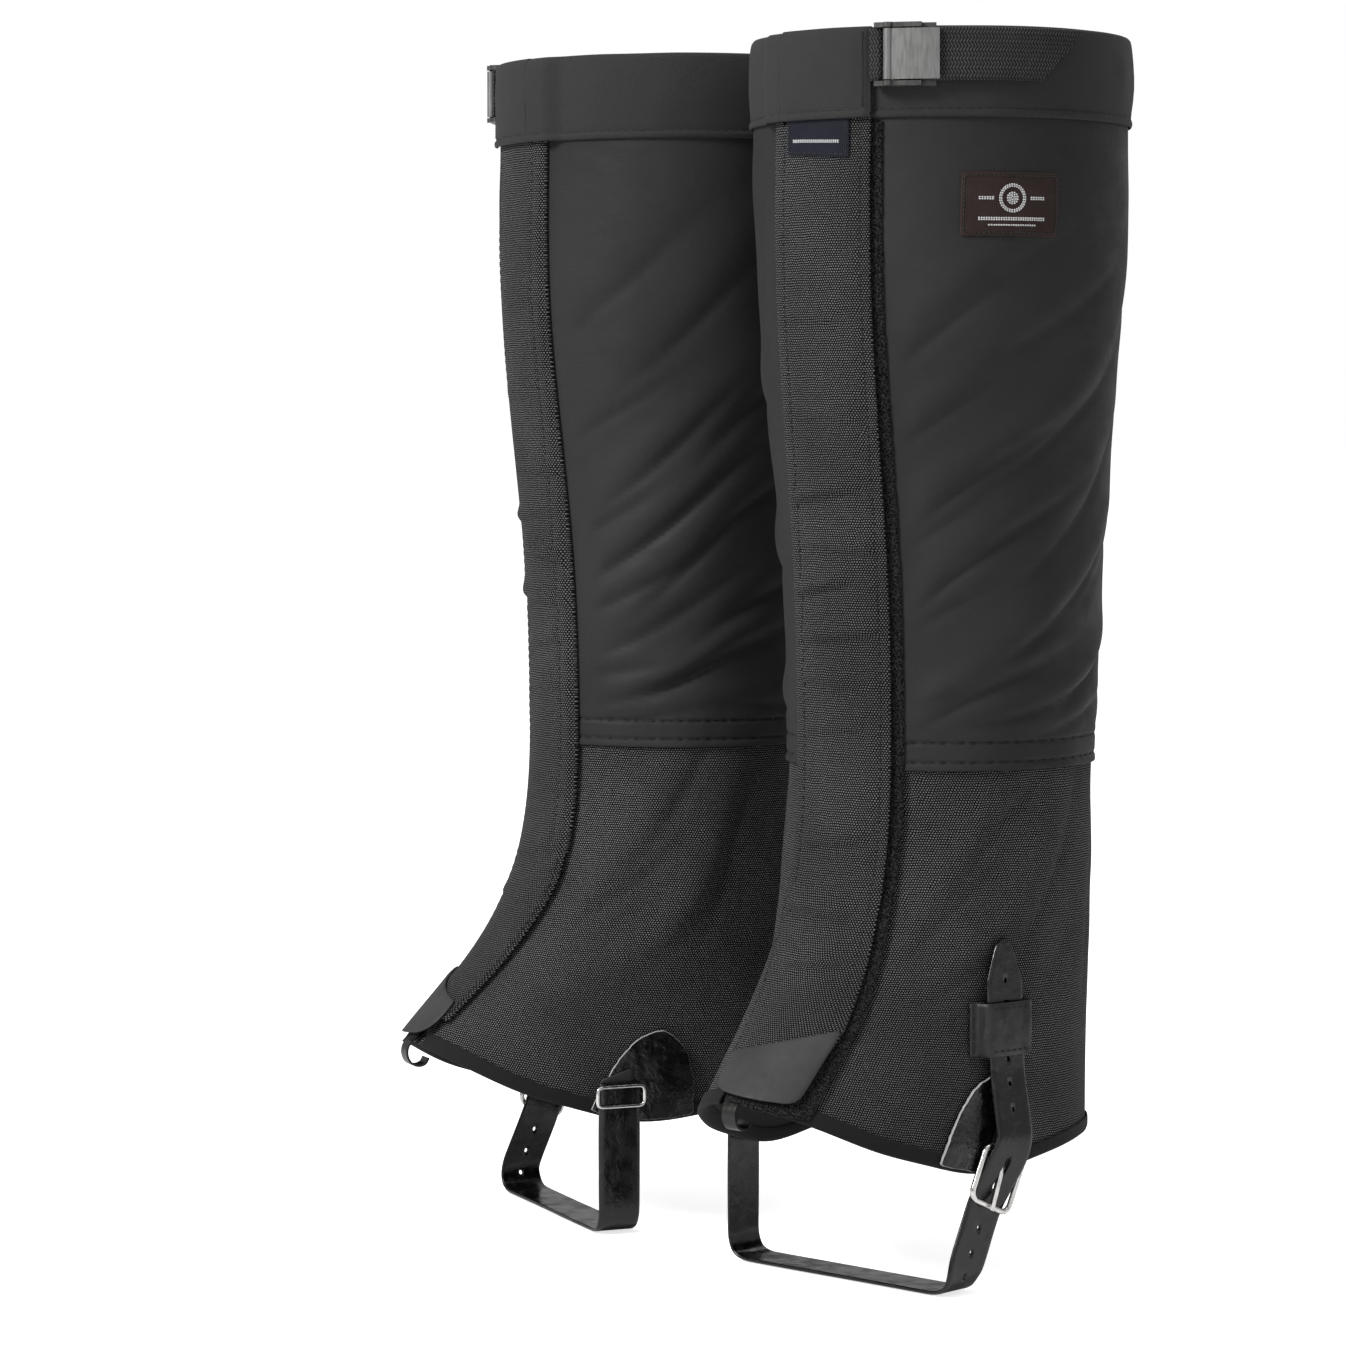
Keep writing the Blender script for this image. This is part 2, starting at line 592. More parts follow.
def rubber_finish():
    """The matt rubbery sheet of the toe tab."""
    sheet = Finish("tab rubber", 0.62, specular=0.2)
    slow = sheet.ramp(sheet.noise(0.018, 4), 0.3, 0.7)
    sheet.colour(sheet.mix(slow, tone(53), tone(60)))
    sheet.put(sheet.surface.inputs["Roughness"], sheet.ramp(sheet.noise(0.004, 5), 0.3, 0.7, 0.5, 0.68))
    sheet.bump(sheet.noise(0.0007, 2), 0.00008, 0.8)
    sheet.bump(sheet.noise(0.012, 3), 0.0005, 0.35)
    return sheet.material


def coated_finish(name, level, roughness, crinkle):
    """Coated sheet: glossy, faintly crinkled, scuffed where it flexes."""
    sheet = Finish(name, roughness, specular=0.5)
    worn = sheet.ramp(sheet.noise(0.003, 6), 0.55, 0.8)
    sheet.colour(sheet.mix(worn, tone(level), tone(level + 26)))
    gloss = sheet.ramp(sheet.noise(0.008, 5), 0.35, 0.7, roughness * 0.75, roughness * 1.5)
    sheet.put(sheet.surface.inputs["Roughness"], gloss)
    sheet.bump(sheet.noise(0.007, 4), crinkle, 0.8)
    sheet.bump(sheet.noise(0.0012, 3), crinkle * 0.12, 0.7)
    return sheet.material


def metal_finish(name, level, roughness, metallic=1.0, scratch=0.00003, warm=0.02, worn=0.8):
    """Metal with fine scratches and a little tarnish."""
    metal = Finish(name, roughness, metallic=metallic, specular=0.5)
    tarnish = metal.ramp(metal.noise(0.004, 5), 0.4, 0.75)
    metal.colour(metal.mix(tarnish, tone(level, warm), tone(level * worn, warm)))
    brushed = metal.noise(0.0012, 4, (1, 1, 0.15))
    gloss = metal.ramp(brushed, 0.3, 0.7, roughness * 0.8, roughness * 1.3)
    metal.put(metal.surface.inputs["Roughness"], gloss)
    metal.bump(brushed, scratch, 0.7)
    return metal.material


def label_finish(name, red, green, blue):
    """A woven label: fine ribs and a slight change of shade."""
    label = Finish(name, 0.7, sheen=0.03, specular=0.15)
    thread = label.math("MULTIPLY", label.ribs(label.v, 0.0006), label.ribs(label.u, 0.0009))
    base = tuple((c / 255) ** 2.2 for c in (red, green, blue)) + (1.0,)
    lifted = tuple(((c + 20) / 255) ** 2.2 for c in (red, green, blue)) + (1.0,)
    slow = label.ramp(label.noise(0.006, 3), 0.3, 0.7, 0.0, 0.35)
    label.colour(label.mix(label.math("MAXIMUM", thread, slow), base, lifted))
    label.bump(thread, 0.00012, 0.8)
    return label.material


SHELL = smooth_cloth()
COARSE = weave_finish("coarse lower cloth", 7, 128, 0.00112, 0.00096, 0.0004, soft=0.42)
FLAP_CLOTH = weave_finish("coarse flap cloth", 11, 116, 0.00112, 0.00096, 0.0004, soft=0.42)
LINING = weave_finish("lining", 40, 58, 0.0009, 0.0009, 0.00008, 0.6)
BINDING = twill_finish("binding", 30, 0.0009)
TWILL = twill_finish("collar twill", 45)
LOOP = pile_finish("loop pile", 10, 52, 0.0007)
HOOKS = pile_finish("hook pile", 26, 74, 0.0005)
WEB = webbing_finish()
TAB = rubber_finish()
COATED = coated_finish("coated patch", 17, 0.24, 0.0012)
STRAP = coated_finish("coated strap", 14, 0.22, 0.0004)
KEEPER = coated_finish("keeper tape", 22, 0.5, 0.0003)
RAW_EDGE = coated_finish("raw edge", 150, 0.8, 0.0002)
NICKEL = metal_finish("nickel", 226, 0.16)
STEEL = metal_finish("blackened steel", 64, 0.34)
BUCKLE = metal_finish("buckle frame", 92, 0.36, 0.7)
LEVER = metal_finish("lever", 128, 0.42, 0.8, 0.00001, 0.01, 0.97)
THREAD = coated_finish("thread", 14, 0.6, 0.0001)
PALE_THREAD = coated_finish("label thread", 176, 0.7, 0.0001)
BROWN = label_finish("brown label", 40, 30, 28)
NAVY = label_finish("navy label", 16, 18, 27)


# ---------------------------------------------------------------- shared shapes

FRONT_Z = np.linspace(40, 500, 461)
FRONT_WALK = np.concatenate([[0], np.cumsum(np.hypot(1.0, np.diff(to_toe(FRONT_Z))))])
FLAP_BEND = -16.6
COLLAR_BEND = 12.3
# The flap's door stays with the shell at its foot and follows the flap from 102 mm higher up.
DOOR = ((0.0, -67.0, FLAP_SPLIT), ("flap", 0.0, -67.0, FLAP_SPLIT + 102))


def front(across, z, out):
    """Points on the toe side, by distance across and height."""
    return skin(turn_at(across, z, out), z, out)


def front_uv(across, z):
    return np.stack([across + 0 * z, np.interp(z, FRONT_Z, FRONT_WALK) + 0 * across], -1) * MM


def front_sheet(across, z, outer, inner, bulge=0.35):
    """A sheet over the toe side between two distances from the shell."""
    return slab(front(across, z, outer), front(across, z, inner), front_uv(across, z), bulge)


def tape_edge(z):
    """Where the loop tape's outer edge lies across the front."""
    return np.interp(z, [60, 106, 150, TAPE_TOP], [29, 31, 28.5, 28.5])


def walked_uv(grid):
    """Cloth coordinates from the distances walked along a grid's rows and down its columns."""
    along = np.linalg.norm(np.diff(grid, axis=1), axis=2)
    up = np.linalg.norm(np.diff(grid, axis=0), axis=2)
    u, v = np.zeros(grid.shape[:2]), np.zeros(grid.shape[:2])
    u[:, 1:], v[1:] = np.cumsum(along, 1), np.cumsum(up, 0)
    u -= u[:, [grid.shape[1] // 2]]
    v -= v[[-1]]
    return np.stack([u, v], -1) * MM


def around(from_across, to_across, z, columns):
    """Turns from one side of the front, round the heel, to the other, for each height."""
    start, end = turn_at(from_across, z, 0.0), 2 * math.pi + turn_at(to_across, z, 0.0)
    share = np.linspace(0, 1, columns)[None, :]
    return start[:, None] * (1 - share) + end[:, None] * share


def flap_rise(across, z, side):
    """Shallow sideways dents in the flap, always outwards."""
    seed = 1.0 if side == "left" else 6.0
    dents = [(-4, 318, 8, 36, 4.2, 1.1), (6, 297, -6, 34, 4.0, 1.0), (-6, 281, 10, 30, 4.0, 1.2),
             (2, 262, 5, 40, 4.5, 1.0), (-5, 243, -8, 30, 4.0, 0.8), (4, 350, -5, 30, 5.0, 0.6),
             (0, 180, 6, 30, 5.0, 0.8), (-3, 152, -6, 34, 4.5, 1.0), (3, 132, 4, 30, 4.0, 0.8),
             (0, 224, 4, 28, 4.0, 0.7), (-2, 390, -4, 30, 6.0, 0.5)]
    rise = 0 * (across + z)
    for at, height, tilt, length, width, lift in dents:
        height = height + (0 if side == "left" else 9)
        c, s = math.cos(math.radians(tilt)), math.sin(math.radians(tilt))
        run, off = (across - at) * c + (z - height) * s, (z - height) * c - (across - at) * s
        reach = np.exp(-(run / (0.5 * length)) ** 4)
        ridge, valley = np.exp(-(off / width) ** 2), np.exp(-((off + width) / 1.7) ** 2)
        rise = rise + lift * reach * (2.3 * ridge - 2.2 * valley)
    flat = np.stack([across + 0 * z, 0 * across + 0 * z, z + 0 * across], -1)
    rise = rise + 0.45 * (1 + rumple(flat, 24.0, seed).reshape(rise.shape))
    rise = np.maximum(rise, -0.2) * (1 - smooth(z, 436, 452)) * smooth(z, 108, 128)
    return rise * (1 - smooth(np.abs(across), 20.5, 24.5))


def dense(low, high, step, marks, fine=0.6, reach=3.0):
    """Even heights from low to high with finer steps around the marks."""
    levels = np.arange(low, high, step).tolist() + [high]
    for mark in marks:
        levels += np.arange(max(mark - reach, low), min(mark + reach, high), fine).tolist()
    levels = np.unique(np.round(levels, 3))
    keep = [levels[0]]
    for level in levels[1:]:
        if level - keep[-1] > 0.35:
            keep.append(level)
    keep[-1] = high
    return np.array(keep)


def groove(z, mark, depth, width=0.9):
    return -depth * np.exp(-((z - mark) / width) ** 2)


# ---------------------------------------------------------------- the sleeves

# Heights of the stitch rows in the seam and along the collar's lower edge.
SEAM_ROWS = (210.2, 218.0)
COLLAR_ROW = 467.6


def build_sleeves(side):
    z = dense(SEAM, 472.0, 1.9, SEAM_ROWS)
    turn = around(SLIT_OUT, SLIT_IN, z, 288)
    level = z[:, None] + 0 * turn
    rise = folds(turn, level, side)
    pucker = 0.75 + 0.25 * np.sin(turn * 62)
    rise = rise + sum(groove(level, row, 1.05, 0.8) for row in SEAM_ROWS) * pucker
    edge_wave = 0.3 * np.exp(-((level - SEAM) / 2.5) ** 2)
    outer, inner = skin(turn, level, rise + edge_wave), skin(turn, level, rise - 0.85 + edge_wave)
    to_object("upper_sleeve", side, slab(outer, inner, walked_uv(outer)), SHELL, "shell",
              ["upper_panel"])

    share = np.concatenate([np.linspace(0, 0.9, 58), np.linspace(0.912, 1, 9)])[:, None]
    turn = np.linspace(math.asin(SLIT_OUT / 60), 2 * math.pi + math.asin(SLIT_IN / 60), 212)[None, :]
    hem = hem_height(turn)
    level = hem + (218.0 - hem) * share
    turn = turn + 0 * share
    rise = folds(turn, level, side)
    outer, inner = skin(turn, level, rise - 1.3), skin(turn, level, rise - 2.3)
    to_object("lower_sleeve", side, slab(outer, inner, walked_uv(outer)), COARSE, "shell",
              ["lower_panel"])

    share = np.linspace(0, 1, 40)[:, None]
    level = hem + 2.0 + (198.0 - hem) * share
    rise = folds(turn[0][None, :] + 0 * share, level, side)
    turn = turn[0][None, :] + 0 * share
    outer, inner = skin(turn, level, rise - 2.7), skin(turn, level, rise - 3.4)
    to_object("inner_lining", side, slab(outer, inner, walked_uv(outer)), LINING, "shell",
              ["lower_lining"])

    # The hem's tape, folded over the edge of both cloths.
    start, end = math.asin(7.2 / 60), 2 * math.pi + math.asin(SLIT_IN / 60)
    turn = np.linspace(start, end, 230)[None, :]
    hem = hem_height(turn)
    fold = [(-0.55, 5.0), (-0.4, 4.3), (-0.4, 2.4), (-0.45, 0.9), (-0.8, 0.0), (-1.6, -0.6), (-2.6, -0.6),
            (-3.5, 0.0), (-3.75, 1.0), (-3.8, 3.0), (-3.8, 5.0)]
    fold = np.array(fold)
    normal = np.stack([np.gradient(fold[:, 1]), -np.gradient(fold[:, 0])], 1)
    normal /= np.linalg.norm(normal, axis=1)[:, None]
    grids = []
    for half in (-0.24, 0.24):
        out = fold[:, 0] - half * normal[:, 0]
        up = fold[:, 1] - half * normal[:, 1]
        level = hem + up[:, None]
        grids.append(skin(turn + 0 * level, level, out[:, None] + folds(turn + 0 * level, level, side)))
    to_object("hem_tape", side, slab(grids[0], grids[1], walked_uv(grids[0])), BINDING, "shell",
              ["hem_binding"])


# ---------------------------------------------------------------- collar

def casing(bearings, outer_level, inner_level, puff, seed):
    """A folded tube of cloth round the collar: up the outside, over the top and down the inside."""
    outside = [(0.25, 464.6), (0.6, 465.2), (0.75, 466.0), (0.45, 466.9), (-0.15, 467.6), (0.05, 468.4),
               (0.25, 470.5), (0.6, 475), (0.9, 480), (1.0, 485), (0.85, 490), (0.5, 494.5), (0.1, 497.6)]
    rows = [(0, swell, z) for swell, z in outside]
    rows += [(0.07, 0, 498.8), (0.25, 0, 499.5), (0.5, 0, 499.65), (0.75, 0, 499.5), (0.93, 0, 498.8)]
    rows += [(1, 0, z) for z in (497.5, 494, 488, 480, 472, 466)]
    turn = np.radians(bearings)[None, :]
    out, up = [], []
    probe = np.stack([np.degrees(turn[0]) * 1.3, 0 * turn[0], 0 * turn[0]], -1)
    for share, swell, z in rows:
        probe[:, 2] = z
        wave = 1 + 0.8 * rumple(probe, 16.0, seed) if swell > 0.3 else np.ones(len(bearings))
        tall = 1.0 if z < 468 else puff
        out.append(outer_level * (1 - share) + inner_level * share + swell * tall * wave)
        up.append(z + 0.35 * rumple(probe, 30.0, seed + 2) * (z > 490))
    out, up = np.array(out), np.array(up)
    d_out, d_up = np.gradient(out, axis=0), np.gradient(up, axis=0)
    size = np.hypot(d_out, d_up) + 1e-9
    n_out, n_up = d_up / size, -d_out / size
    turn = turn + 0 * out
    outer = skin(turn, np.minimum(up + 0.35 * n_up, TOP), out + 0.35 * n_out)
    inner = skin(turn, up - 0.35 * n_up, out - 0.35 * n_out)
    return slab(outer, inner, walked_uv(outer))


def build_collar(side):
    seed = 4.0 if side == "left" else 9.0
    bearings = np.concatenate([np.arange(-4.8, 333, 1.6), np.arange(333, 359.6 - COLLAR_BEND, 0.7),
                               [360 - COLLAR_BEND]])
    lift = 0.7 + 3.95 * smooth(bearings, 333.5, 340.4)
    puff = 0.12 + 0.88 * smooth(bearings, 44, 62)
    puff = np.where(bearings > 330, 0.9, puff)
    shape = casing(bearings, lift, -2.3, puff, seed)
    to_object("collar_casing", side, shape, TWILL, "shell", ["collar"])

    bearings = np.concatenate([np.arange(-COLLAR_BEND, 17.0, 0.8), [17.0, 17.5, 17.9, 18.2, 18.4, 18.6]])
    lift = 4.65 - 1.0 * smooth(bearings, 16.8, 18.6)
    puff = 0.9 - 0.8 * smooth(bearings, 12.5, 16.5)
    shape = casing(bearings, lift, 1.6, puff, seed)
    to_object("flap_collar_casing", side, shape, TWILL, "flap", ["flap_collar"])


# ---------------------------------------------------------------- flap, tapes and tab

def build_flap(side):
    # The door: from the hinge line to the free edge, above the foot.
    heights = dense(FLAP_SPLIT, FLAP_TOP, 1.3, [])
    a, z = np.meshgrid(np.linspace(FLAP_BEND, FLAP_HALF, 30), heights)
    curl = 0.5 * smooth(a, 21, 25) * (0.6 + 0.4 * np.sin(z / 23))
    seam = groove(a, 21.2, 0.3, 1.0)
    rise = flap_rise(a, z, side) + seam + curl * (1 - smooth(z, 440, 460))
    shape = front_sheet(a, z, 2.9 + rise, 2.2 + rise, bulge=0.45)
    to_object("flap_door", side, shape, FLAP_CLOTH, DOOR, ["front_flap"])

    # The sewn edge, narrower under the collar, and the foot that stays fastened.
    a, z = np.meshgrid(np.linspace(-FLAP_HALF, FLAP_BEND, 12), heights)
    a = a - 0.32 * (a + FLAP_HALF) * smooth(z, 462.5, 465)
    rise = flap_rise(a, z, side) + groove(a, -17.6, 0.25, 0.9) + groove(a, -23.6, 0.3, 0.8)
    low = 0.9 * (1 - smooth(a, -FLAP_HALF, -23.0))
    shape = front_sheet(a, z, 2.9 + rise - low, 2.2 + rise - 2 * low)
    to_object("flap_sewn_edge", side, shape, FLAP_CLOTH, "shell")

    share = np.linspace(0, 1, 38)[:, None]
    left_z, right_z = 89 + 71 * share, 99 + 61 * share
    left_a = np.interp(left_z, [89, 148, FLAP_SPLIT], [-15, -FLAP_HALF, -FLAP_HALF])
    right_a = np.interp(right_z, [99, 106, 148, FLAP_SPLIT], [27, 28, FLAP_HALF, FLAP_HALF])
    across = np.linspace(0, 1, 38)[None, :]
    a, z = left_a * (1 - across) + right_a * across, left_z * (1 - across) + right_z * across
    rise = flap_rise(a, z, side)
    low = 0.9 * (1 - smooth(across, 0.0, 0.05))
    shape = front_sheet(a, z, 2.9 + rise - low, 2.2 + rise - low)
    to_object("flap_foot", side, shape, FLAP_CLOTH, "shell", ["flap_base"])

    # Hook tape on the door's back, and loop tape on the shell.
    a, z = np.meshgrid(np.linspace(-1.5, 23.5, 20), dense(163.0, 461.0, 1.9, []))
    pile = 0.12 * rumple(front(a, z, 0.0), 1.7, 2.0).reshape(z.shape)
    shape = front_sheet(a, z, 1.85, 1.4 + pile)
    to_object("hook_strip", side, shape, HOOKS, DOOR, ["hook_tape"])

    share = np.linspace(0, 1, 250)[:, None]
    across = np.concatenate([np.linspace(0, 0.8, 16), np.linspace(0.82, 1, 9)])[None, :]
    low = hem_height(turn_at(np.array([-3.0, 29.0]), 90.0, 0.0)) + 1.5
    z_in, z_out = low[0] + (TAPE_TOP - low[0]) * share, low[1] + (TAPE_TOP - low[1]) * share
    a, z = -3 * (1 - across) + tape_edge(z_out) * across, z_in * (1 - across) + z_out * across
    flat = front(a, z, 0.0)
    pile = 0.28 * rumple(flat, 1.3, 5.0).reshape(z.shape)
    rise = folds(turn_at(a, z, 0.0), z, side)
    wobble = 0.35 * rumple(flat * np.array([0, 0, 1.0]), 3.0, 8.0).reshape(z.shape) * smooth(across, 0.8, 1.0)
    outer, inner = front(a + wobble, z, 1.0 + pile + rise), front(a + wobble, z, 0.3 + rise)
    to_object("loop_strip", side, slab(outer, inner, front_uv(a, z)), LOOP, "shell",
              ["loop_tape"])

    # Loose loops along the strip's visible edge.
    fuzz = Bundle()
    random = np.random.default_rng(5 if side == "left" else 8)
    for _ in range(900):
        height = random.uniform(88, 462)
        edge_at = tape_edge(height) - random.uniform(-0.2, 3.2)
        root = front(np.array(edge_at), np.array(height), 0.9)
        way = np.array([random.uniform(-0.3, 1.0), random.uniform(-1.1, -0.3), random.uniform(-0.9, 0.9)])
        way *= random.uniform(0.5, 1.2) / np.linalg.norm(way)
        side_way = np.cross(way, [0, 0, 1.0])
        side_way *= 0.09 / np.linalg.norm(side_way)
        lift = np.array([0, 0, 0.08])
        tip = root + way
        bend = root + way * 0.6 + lift
        points = [root - side_way, root + side_way, root + lift * 2, bend - side_way, bend + side_way,
                  bend + lift * 2, tip]
        faces = [[0, 2, 1], [0, 1, 4, 3], [1, 2, 5, 4], [2, 0, 3, 5], [3, 4, 6], [4, 5, 6], [5, 3, 6]]
        fuzz.add(np.array(points), faces)
    fuzz.build("loop_fuzz", side, LOOP, "shell", "loop_tape")

    # The toe tab.
    outline = rounded([(-13, 97), (28.5, 107), (26.5, 80), (-14, 84)], [1.5, 1.5, 4, 10])
    rings = [(share, 4.95) for share in (0.1, 0.2, 0.3, 0.4, 0.5, 0.6, 0.7, 0.8, 0.88, 0.93)]
    rings += [(0.965, 4.86), (0.988, 4.6), (1.0, 4.25), (0.988, 3.8), (0.965, 3.58)]
    rings += [(share, 3.5) for share in (0.93, 0.8, 0.6, 0.4, 0.2)]
    to_object("tab_sheet", side, plate(outline, rings, front), TAB, "toe_tab", ["toe_tab"])


# ---------------------------------------------------------------- labels

def beside(turn, z, out, side):
    return skin(turn, z, out + folds(turn, z, side))


def build_labels(side):
    middle, height = 1.065, 430.5
    lay = lambda s, z, out: beside(middle + s / 76.0, z, out, side)
    low, high = height - 12.5, height + 12.5
    outline = rounded([(-21, high), (21, high), (21, low), (-21, low)], 0.9)
    shares = (0.15, 0.3, 0.45, 0.6, 0.75, 0.88, 0.95)
    rings = [(share, 0.95) for share in shares] + [(0.985, 0.85), (1.0, 0.6), (0.985, 0.42)]
    rings += [(share, 0.4) for share in (0.8, 0.5, 0.2)]
    to_object("badge", side, plate(outline, rings, lay), BROWN, "shell", ["side_label"])

    def on_badge(path, out=0.98):
        path = np.asarray(path, float)
        return lay(path[:, 0], path[:, 1] + height, np.full(len(path), out))

    def outward(path):
        path = np.asarray(path, float)
        top, low = on_badge(path, 1.98), on_badge(path, 0.98)
        return top - low

    border = Bundle()
    loop = [(-19.6, 11.1), (19.6, 11.1), (19.6, -11.1), (-19.6, -11.1), (-19.6, 11.1)]
    loop = resample(loop, 1.0)
    border.stitches(on_badge(loop), outward(loop), 1.5, 0.35, 0.7, 0.3)
    border.build("badge_border", side, THREAD, "shell", "brown_label")
    emblem = Bundle()
    angles = np.linspace(0, 2 * math.pi, 49)
    for radius in (5.4, 4.7, 2.2, 1.5, 0.8):
        ring = np.stack([radius * np.cos(angles), 2.4 + radius * np.sin(angles)], 1)
        emblem.stitches(on_badge(ring), outward(ring), 0.9, 0.1, 0.75, 0.28)
    for bar, half in ((-5.4, 14.0), (-6.1, 14.0), (-8.2, 10.0)):
        row = resample([(-half, bar), (half, bar)], 1.0)
        emblem.stitches(on_badge(row), outward(row), 0.9, 0.1, 0.7, 0.28)
    for bar in (2.7, 2.0):
        for low, high in ((-14.0, -7.6), (7.6, 14.0)):
            row = resample([(low, bar), (high, bar)], 1.0)
            emblem.stitches(on_badge(row), outward(row), 0.9, 0.1, 0.7, 0.28)
    emblem.build("badge_emblem", side, PALE_THREAD, "shell", "brown_label")

    if side == "right":
        return
    outline = rounded([(-15, 467), (17, 467), (17, 449), (-15, 451)], 0.9)
    rings = [(share, 3.8) for share in shares] + [(0.985, 3.7), (1.0, 3.5), (0.985, 3.3)]
    rings += [(share, 3.25) for share in (0.8, 0.5, 0.2)]
    to_object("flap_badge", side, plate(outline, rings, front), NAVY, "flap", ["flap_label"])
    stripe = Bundle()
    for offset in (0.0, 0.65):
        row = resample([(-11.5, 456.2 + offset), (12.5, 455.2 + offset)], 1.0)
        up = front(row[:, 0], row[:, 1], 4.8) - front(row[:, 0], row[:, 1], 3.8)
        stripe.stitches(front(row[:, 0], row[:, 1], 3.82), up, 0.9, 0.1, 0.7, 0.26)
    stripe.build("flap_badge_stripe", side, PALE_THREAD, "flap", "navy_label")
    hemline = Bundle()
    loop = resample([(-13.9, 463), (-13.9, 452.2), (15.8, 450.3), (15.8, 463)], 1.0)
    up = front(loop[:, 0], loop[:, 1], 4.8) - front(loop[:, 0], loop[:, 1], 3.8)
    hemline.stitches(front(loop[:, 0], loop[:, 1], 3.82), up, 1.9, 0.7, 0.5, 0.26)
    hemline.build("flap_badge_stitches", side, THREAD, "flap", "navy_label")


# ---------------------------------------------------------------- webbing and cam buckle

def on_circle(bearing, radius, z):
    """A point on the strap circle by bearing from the toe, in degrees."""
    angle = np.radians(bearing)
    return np.stack([STRAP_CENTRE[0] + radius * np.sin(angle), STRAP_CENTRE[1] - radius * np.cos(angle),
                     z + 0 * angle], -1)


def ribbon(path, low, high, thickness, rows=9, cut=0.0, flutter=0.0):
    """Webbing on edge along a level path; cut shortens its lower edge, in millimetres."""
    path = resample(path, 1.0)
    tangent = np.gradient(path, axis=0)
    tangent /= np.linalg.norm(tangent, axis=1)[:, None]
    normal = np.stack([tangent[:, 1], -tangent[:, 0]], 1)
    walk = np.concatenate([[0], np.cumsum(np.linalg.norm(np.diff(path, axis=0), axis=1))])
    heights = np.linspace(low, high, rows)
    outer, inner, uv = [], [], []
    for row, z in enumerate(heights):
        up = row / (rows - 1)
        end = walk[-1] - cut * (1 - up)
        at = walk / walk[-1] * end
        x = np.interp(at, walk, path[:, 0])
        y = np.interp(at, walk, path[:, 1])
        nx, ny = np.interp(at, walk, normal[:, 0]), np.interp(at, walk, normal[:, 1])
        selvedge = 0.12 if row in (1, rows - 2) else 0.0
        wave = flutter * np.sin(at / 9.0 + up * 1.3) * smooth(at, 20, 60)
        ridge = 0.07 * np.sin(2 * math.pi * at)
        for grid, half in ((outer, thickness / 2 + selvedge + ridge), (inner, -thickness / 2)):
            grid.append(np.stack([x + nx * (half + wave), y + ny * (half + wave), z + 0 * x], 1))
        uv.append(np.stack([at, z + 0 * at], 1) * MM)
    return slab(np.array(outer), np.array(inner), np.array(uv), bulge=0.3)


def turned_back(bearing, out_reach, back_reach, turns):
    """The strap's way round a bar at that bearing."""
    hub, base = on_circle(np.array(bearing), 81.2, 0), math.radians(bearing)
    out, back = -out_reach * np.cos(turns), back_reach * np.sin(turns)
    return np.stack([hub[0] + out * math.sin(base) + back * math.cos(base),
                     hub[1] - out * math.cos(base) + back * math.sin(base)], 1)


def build_webbing(side):
    bearings = np.arange(29.0, 81.5, 1.0)
    path = on_circle(bearings, 81.95, 0)[:, :2]
    shape = ribbon(path, STRAP_LOW, STRAP_HIGH, 1.1, cut=19.5, flutter=0.35)
    to_object("collar_strap_tail", side, shape, WEB, "top_strap_tail", ["top_strap_tail"])

    # The fold round the cam: in under the lever, round its hub and out again.
    path = np.concatenate([on_circle(np.arange(38.9, 27.9, -1.0), 80.45, 0)[:, :2],
                           turned_back(27.6, 0.75, -1.1, math.pi * np.arange(1, 8) / 7)])
    shape = ribbon(path, STRAP_LOW, STRAP_HIGH, 1.0)
    to_object("collar_strap_fold", side, shape, WEB, "flap", ["top_strap_fold"])

    # The short strap that holds the buckle, sewn under the flap's collar and looped round the bar.
    path = np.concatenate([on_circle(np.arange(12.0, 20.5, 0.6), 80.45, 0)[:, :2],
                           turned_back(21.3, 1.75, 1.75, math.pi * (0.06 + 0.9 * np.arange(1, 10) / 9)),
                           on_circle(np.array([20.2, 19.6, 19.0]), 82.35, 0)[:, :2]])
    shape = ribbon(soften(resample(path, 0.5), 3), STRAP_LOW, STRAP_HIGH, 0.7)
    to_object("buckle_loop", side, shape, WEB, "flap", ["buckle_anchor"])

    # The strap inside the casing.
    turn = np.radians(np.arange(43.6, 350.2, 1.6))
    path = skin(turn, 488.0, -0.95)[:, :2]
    out_of_slot = on_circle(np.array([39.2, 40.2, 41.2, 42.4]), 80.3, 0)[:, :2]
    out_of_slot[:, 0] += np.array([0, 0, -0.5, -1.7])
    shape = ribbon(np.concatenate([out_of_slot, path]), STRAP_LOW, STRAP_HIGH, 0.9)
    to_object("collar_strap", side, shape, WEB, "shell", ["top_strap"])


# ---------------------------------------------------------------- instep strap

FACE_TURN, LEAN = math.radians(8.0), math.radians(24.0)
SIDE_OUT = np.array([math.cos(FACE_TURN), -math.sin(FACE_TURN), 0.0])
SIDE_BACK = np.array([math.sin(FACE_TURN), math.cos(FACE_TURN), 0.0])
UP = np.array([0.0, 0.0, 1.0])
SIDE_FOOT = SIDE_OUT * 64.3 - SIDE_BACK * 21.3


def on_side(back, out, up, lean=0.0):
    """Points on the outer-side strap's plane; up is measured from 60 mm above the ground."""
    back, out, up = (np.asarray(one, float)[..., None] for one in (back, out, up))
    back_way = SIDE_BACK * math.cos(lean) - UP * math.sin(lean)
    up_way = UP * math.cos(lean) + SIDE_BACK * math.sin(lean)
    return SIDE_FOOT + 60.0 * UP + back * back_way + out * SIDE_OUT + up * up_way


HOLE_STEP = 10.3 / 7


